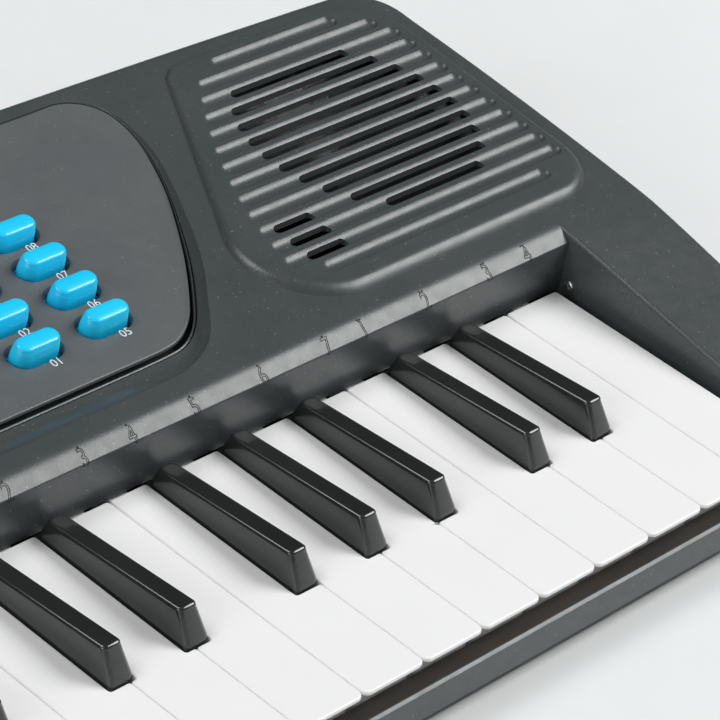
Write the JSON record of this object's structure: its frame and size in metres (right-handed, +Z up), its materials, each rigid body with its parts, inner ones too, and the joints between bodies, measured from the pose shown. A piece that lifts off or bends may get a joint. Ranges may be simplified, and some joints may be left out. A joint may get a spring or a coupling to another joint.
{
  "type": "toy electronic keyboard",
  "caption": "Toy electronic keyboard with small piano keys from F to F, a sunken control panel with pill-shaped rhythm buttons, and a slotted speaker pad at each end.",
  "frame": {"origin": "middle of the case's box, on the surface that the feet stand on", "axes": "+X towards the treble end, +Y away from the player, +Z up"},
  "size_m": [0.5182, 0.2032, 0.0447],
  "materials": {
    "case": "fine moulded texture, satin, charcoal grey",
    "lower_case": "fine moulded texture, matte, charcoal",
    "panel": "fine texture, satin, warm grey",
    "white_keys": "polished white",
    "black_keys": "satin black with polished edges",
    "controls": "polished cyan blue",
    "contact_rubber": "silicone rubber, grey",
    "circuit_board": "phenolic paper laminate, tan",
    "rail": "natural acetal, satin",
    "felt": "pressed wool felt, dark red",
    "speaker": "pressed steel basket with a black paper cone"
  },
  "bodies": {
    "case": {"lower_case": "lower_case", "upper_case": "case", "control_panel": "panel", "battery_door": "lower_case", "main_board": "circuit_board", "button_mat": "contact_rubber", "key_board": "circuit_board", "key_contact_strip": "contact_rubber", "key_rail": "rail", "key_felt": "felt", "speaker_left": "speaker", "speaker_right": "speaker"},
    "rhythm_button_1": {"rhythm_button_1": "controls"},
    "rhythm_button_2": {"rhythm_button_2": "controls"},
    "rhythm_button_3": {"rhythm_button_3": "controls"},
    "rhythm_button_4": {"rhythm_button_4": "controls"},
    "rhythm_button_5": {"rhythm_button_5": "controls"},
    "rhythm_button_6": {"rhythm_button_6": "controls"},
    "rhythm_button_7": {"rhythm_button_7": "controls"},
    "rhythm_button_8": {"rhythm_button_8": "controls"},
    "power_switch": {"power_switch": "controls"},
    "volume_slider": {"volume_slider": "controls"},
    "key_F3": {"key_F3": "white_keys"},
    "key_Fs3": {"key_Fs3": "black_keys"},
    "key_G3": {"key_G3": "white_keys"},
    "key_Gs3": {"key_Gs3": "black_keys"},
    "key_A3": {"key_A3": "white_keys"},
    "key_As3": {"key_As3": "black_keys"},
    "key_B3": {"key_B3": "white_keys"},
    "key_C4": {"key_C4": "white_keys"},
    "key_Cs4": {"key_Cs4": "black_keys"},
    "key_D4": {"key_D4": "white_keys"},
    "key_Ds4": {"key_Ds4": "black_keys"},
    "key_E4": {"key_E4": "white_keys"},
    "key_F4": {"key_F4": "white_keys"},
    "key_Fs4": {"key_Fs4": "black_keys"},
    "key_G4": {"key_G4": "white_keys"},
    "key_Gs4": {"key_Gs4": "black_keys"},
    "key_A4": {"key_A4": "white_keys"},
    "key_As4": {"key_As4": "black_keys"},
    "key_B4": {"key_B4": "white_keys"},
    "key_C5": {"key_C5": "white_keys"},
    "key_Cs5": {"key_Cs5": "black_keys"},
    "key_D5": {"key_D5": "white_keys"},
    "key_Ds5": {"key_Ds5": "black_keys"},
    "key_E5": {"key_E5": "white_keys"},
    "key_F5": {"key_F5": "white_keys"},
    "key_Fs5": {"key_Fs5": "black_keys"},
    "key_G5": {"key_G5": "white_keys"},
    "key_Gs5": {"key_Gs5": "black_keys"},
    "key_A5": {"key_A5": "white_keys"},
    "key_As5": {"key_As5": "black_keys"},
    "key_B5": {"key_B5": "white_keys"},
    "key_C6": {"key_C6": "white_keys"},
    "key_Cs6": {"key_Cs6": "black_keys"},
    "key_D6": {"key_D6": "white_keys"},
    "key_Ds6": {"key_Ds6": "black_keys"},
    "key_E6": {"key_E6": "white_keys"},
    "key_F6": {"key_F6": "white_keys"}
  },
  "joints": [
    {"name": "rhythm_button_1_press", "type": "slide", "parent": "case", "child": "rhythm_button_1", "axis": [0, 0.1392, -0.9903], "range_m": [0, 0.0015], "stiffness_N_per_m": 300, "springref_m": -0.001},
    {"name": "rhythm_button_2_press", "type": "slide", "parent": "case", "child": "rhythm_button_2", "axis": [0, 0.1392, -0.9903], "range_m": [0, 0.0015], "stiffness_N_per_m": 300, "springref_m": -0.001},
    {"name": "rhythm_button_3_press", "type": "slide", "parent": "case", "child": "rhythm_button_3", "axis": [0, 0.1392, -0.9903], "range_m": [0, 0.0015], "stiffness_N_per_m": 300, "springref_m": -0.001},
    {"name": "rhythm_button_4_press", "type": "slide", "parent": "case", "child": "rhythm_button_4", "axis": [0, 0.1392, -0.9903], "range_m": [0, 0.0015], "stiffness_N_per_m": 300, "springref_m": -0.001},
    {"name": "rhythm_button_5_press", "type": "slide", "parent": "case", "child": "rhythm_button_5", "axis": [0, 0.1392, -0.9903], "range_m": [0, 0.0015], "stiffness_N_per_m": 300, "springref_m": -0.001},
    {"name": "rhythm_button_6_press", "type": "slide", "parent": "case", "child": "rhythm_button_6", "axis": [0, 0.1392, -0.9903], "range_m": [0, 0.0015], "stiffness_N_per_m": 300, "springref_m": -0.001},
    {"name": "rhythm_button_7_press", "type": "slide", "parent": "case", "child": "rhythm_button_7", "axis": [0, 0.1392, -0.9903], "range_m": [0, 0.0015], "stiffness_N_per_m": 300, "springref_m": -0.001},
    {"name": "rhythm_button_8_press", "type": "slide", "parent": "case", "child": "rhythm_button_8", "axis": [0, 0.1392, -0.9903], "range_m": [0, 0.0015], "stiffness_N_per_m": 300, "springref_m": -0.001},
    {"name": "power_switch_slide", "type": "slide", "parent": "case", "child": "power_switch", "axis": [0, 0.9903, 0.1392], "range_m": [0, 0.009]},
    {"name": "volume_slider_slide", "type": "slide", "parent": "case", "child": "volume_slider", "axis": [0, 0.9903, 0.1392], "range_m": [0, 0.027]},
    {"name": "key_F3_press", "type": "hinge", "parent": "case", "child": "key_F3", "pos_m": [0, 0.0076, 0.012], "axis": [1, 0, 0], "range_deg": [0, 2], "stiffness_Nm_per_rad": 0.8, "springref_deg": -3.44},
    {"name": "key_Fs3_press", "type": "hinge", "parent": "case", "child": "key_Fs3", "pos_m": [0, 0.0076, 0.012], "axis": [1, 0, 0], "range_deg": [0, 2.5], "stiffness_Nm_per_rad": 0.8, "springref_deg": -3.44},
    {"name": "key_G3_press", "type": "hinge", "parent": "case", "child": "key_G3", "pos_m": [0, 0.0076, 0.012], "axis": [1, 0, 0], "range_deg": [0, 2], "stiffness_Nm_per_rad": 0.8, "springref_deg": -3.44},
    {"name": "key_Gs3_press", "type": "hinge", "parent": "case", "child": "key_Gs3", "pos_m": [0, 0.0076, 0.012], "axis": [1, 0, 0], "range_deg": [0, 2.5], "stiffness_Nm_per_rad": 0.8, "springref_deg": -3.44},
    {"name": "key_A3_press", "type": "hinge", "parent": "case", "child": "key_A3", "pos_m": [0, 0.0076, 0.012], "axis": [1, 0, 0], "range_deg": [0, 2], "stiffness_Nm_per_rad": 0.8, "springref_deg": -3.44},
    {"name": "key_As3_press", "type": "hinge", "parent": "case", "child": "key_As3", "pos_m": [0, 0.0076, 0.012], "axis": [1, 0, 0], "range_deg": [0, 2.5], "stiffness_Nm_per_rad": 0.8, "springref_deg": -3.44},
    {"name": "key_B3_press", "type": "hinge", "parent": "case", "child": "key_B3", "pos_m": [0, 0.0076, 0.012], "axis": [1, 0, 0], "range_deg": [0, 2], "stiffness_Nm_per_rad": 0.8, "springref_deg": -3.44},
    {"name": "key_C4_press", "type": "hinge", "parent": "case", "child": "key_C4", "pos_m": [0, 0.0076, 0.012], "axis": [1, 0, 0], "range_deg": [0, 2], "stiffness_Nm_per_rad": 0.8, "springref_deg": -3.44},
    {"name": "key_Cs4_press", "type": "hinge", "parent": "case", "child": "key_Cs4", "pos_m": [0, 0.0076, 0.012], "axis": [1, 0, 0], "range_deg": [0, 2.5], "stiffness_Nm_per_rad": 0.8, "springref_deg": -3.44},
    {"name": "key_D4_press", "type": "hinge", "parent": "case", "child": "key_D4", "pos_m": [0, 0.0076, 0.012], "axis": [1, 0, 0], "range_deg": [0, 2], "stiffness_Nm_per_rad": 0.8, "springref_deg": -3.44},
    {"name": "key_Ds4_press", "type": "hinge", "parent": "case", "child": "key_Ds4", "pos_m": [0, 0.0076, 0.012], "axis": [1, 0, 0], "range_deg": [0, 2.5], "stiffness_Nm_per_rad": 0.8, "springref_deg": -3.44},
    {"name": "key_E4_press", "type": "hinge", "parent": "case", "child": "key_E4", "pos_m": [0, 0.0076, 0.012], "axis": [1, 0, 0], "range_deg": [0, 2], "stiffness_Nm_per_rad": 0.8, "springref_deg": -3.44},
    {"name": "key_F4_press", "type": "hinge", "parent": "case", "child": "key_F4", "pos_m": [0, 0.0076, 0.012], "axis": [1, 0, 0], "range_deg": [0, 2], "stiffness_Nm_per_rad": 0.8, "springref_deg": -3.44},
    {"name": "key_Fs4_press", "type": "hinge", "parent": "case", "child": "key_Fs4", "pos_m": [0, 0.0076, 0.012], "axis": [1, 0, 0], "range_deg": [0, 2.5], "stiffness_Nm_per_rad": 0.8, "springref_deg": -3.44},
    {"name": "key_G4_press", "type": "hinge", "parent": "case", "child": "key_G4", "pos_m": [0, 0.0076, 0.012], "axis": [1, 0, 0], "range_deg": [0, 2], "stiffness_Nm_per_rad": 0.8, "springref_deg": -3.44},
    {"name": "key_Gs4_press", "type": "hinge", "parent": "case", "child": "key_Gs4", "pos_m": [0, 0.0076, 0.012], "axis": [1, 0, 0], "range_deg": [0, 2.5], "stiffness_Nm_per_rad": 0.8, "springref_deg": -3.44},
    {"name": "key_A4_press", "type": "hinge", "parent": "case", "child": "key_A4", "pos_m": [0, 0.0076, 0.012], "axis": [1, 0, 0], "range_deg": [0, 2], "stiffness_Nm_per_rad": 0.8, "springref_deg": -3.44},
    {"name": "key_As4_press", "type": "hinge", "parent": "case", "child": "key_As4", "pos_m": [0, 0.0076, 0.012], "axis": [1, 0, 0], "range_deg": [0, 2.5], "stiffness_Nm_per_rad": 0.8, "springref_deg": -3.44},
    {"name": "key_B4_press", "type": "hinge", "parent": "case", "child": "key_B4", "pos_m": [0, 0.0076, 0.012], "axis": [1, 0, 0], "range_deg": [0, 2], "stiffness_Nm_per_rad": 0.8, "springref_deg": -3.44},
    {"name": "key_C5_press", "type": "hinge", "parent": "case", "child": "key_C5", "pos_m": [0, 0.0076, 0.012], "axis": [1, 0, 0], "range_deg": [0, 2], "stiffness_Nm_per_rad": 0.8, "springref_deg": -3.44},
    {"name": "key_Cs5_press", "type": "hinge", "parent": "case", "child": "key_Cs5", "pos_m": [0, 0.0076, 0.012], "axis": [1, 0, 0], "range_deg": [0, 2.5], "stiffness_Nm_per_rad": 0.8, "springref_deg": -3.44},
    {"name": "key_D5_press", "type": "hinge", "parent": "case", "child": "key_D5", "pos_m": [0, 0.0076, 0.012], "axis": [1, 0, 0], "range_deg": [0, 2], "stiffness_Nm_per_rad": 0.8, "springref_deg": -3.44},
    {"name": "key_Ds5_press", "type": "hinge", "parent": "case", "child": "key_Ds5", "pos_m": [0, 0.0076, 0.012], "axis": [1, 0, 0], "range_deg": [0, 2.5], "stiffness_Nm_per_rad": 0.8, "springref_deg": -3.44},
    {"name": "key_E5_press", "type": "hinge", "parent": "case", "child": "key_E5", "pos_m": [0, 0.0076, 0.012], "axis": [1, 0, 0], "range_deg": [0, 2], "stiffness_Nm_per_rad": 0.8, "springref_deg": -3.44},
    {"name": "key_F5_press", "type": "hinge", "parent": "case", "child": "key_F5", "pos_m": [0, 0.0076, 0.012], "axis": [1, 0, 0], "range_deg": [0, 2], "stiffness_Nm_per_rad": 0.8, "springref_deg": -3.44},
    {"name": "key_Fs5_press", "type": "hinge", "parent": "case", "child": "key_Fs5", "pos_m": [0, 0.0076, 0.012], "axis": [1, 0, 0], "range_deg": [0, 2.5], "stiffness_Nm_per_rad": 0.8, "springref_deg": -3.44},
    {"name": "key_G5_press", "type": "hinge", "parent": "case", "child": "key_G5", "pos_m": [0, 0.0076, 0.012], "axis": [1, 0, 0], "range_deg": [0, 2], "stiffness_Nm_per_rad": 0.8, "springref_deg": -3.44},
    {"name": "key_Gs5_press", "type": "hinge", "parent": "case", "child": "key_Gs5", "pos_m": [0, 0.0076, 0.012], "axis": [1, 0, 0], "range_deg": [0, 2.5], "stiffness_Nm_per_rad": 0.8, "springref_deg": -3.44},
    {"name": "key_A5_press", "type": "hinge", "parent": "case", "child": "key_A5", "pos_m": [0, 0.0076, 0.012], "axis": [1, 0, 0], "range_deg": [0, 2], "stiffness_Nm_per_rad": 0.8, "springref_deg": -3.44},
    {"name": "key_As5_press", "type": "hinge", "parent": "case", "child": "key_As5", "pos_m": [0, 0.0076, 0.012], "axis": [1, 0, 0], "range_deg": [0, 2.5], "stiffness_Nm_per_rad": 0.8, "springref_deg": -3.44},
    {"name": "key_B5_press", "type": "hinge", "parent": "case", "child": "key_B5", "pos_m": [0, 0.0076, 0.012], "axis": [1, 0, 0], "range_deg": [0, 2], "stiffness_Nm_per_rad": 0.8, "springref_deg": -3.44},
    {"name": "key_C6_press", "type": "hinge", "parent": "case", "child": "key_C6", "pos_m": [0, 0.0076, 0.012], "axis": [1, 0, 0], "range_deg": [0, 2], "stiffness_Nm_per_rad": 0.8, "springref_deg": -3.44},
    {"name": "key_Cs6_press", "type": "hinge", "parent": "case", "child": "key_Cs6", "pos_m": [0, 0.0076, 0.012], "axis": [1, 0, 0], "range_deg": [0, 2.5], "stiffness_Nm_per_rad": 0.8, "springref_deg": -3.44},
    {"name": "key_D6_press", "type": "hinge", "parent": "case", "child": "key_D6", "pos_m": [0, 0.0076, 0.012], "axis": [1, 0, 0], "range_deg": [0, 2], "stiffness_Nm_per_rad": 0.8, "springref_deg": -3.44},
    {"name": "key_Ds6_press", "type": "hinge", "parent": "case", "child": "key_Ds6", "pos_m": [0, 0.0076, 0.012], "axis": [1, 0, 0], "range_deg": [0, 2.5], "stiffness_Nm_per_rad": 0.8, "springref_deg": -3.44},
    {"name": "key_E6_press", "type": "hinge", "parent": "case", "child": "key_E6", "pos_m": [0, 0.0076, 0.012], "axis": [1, 0, 0], "range_deg": [0, 2], "stiffness_Nm_per_rad": 0.8, "springref_deg": -3.44},
    {"name": "key_F6_press", "type": "hinge", "parent": "case", "child": "key_F6", "pos_m": [0, 0.0076, 0.012], "axis": [1, 0, 0], "range_deg": [0, 2], "stiffness_Nm_per_rad": 0.8, "springref_deg": -3.44}
  ]
}
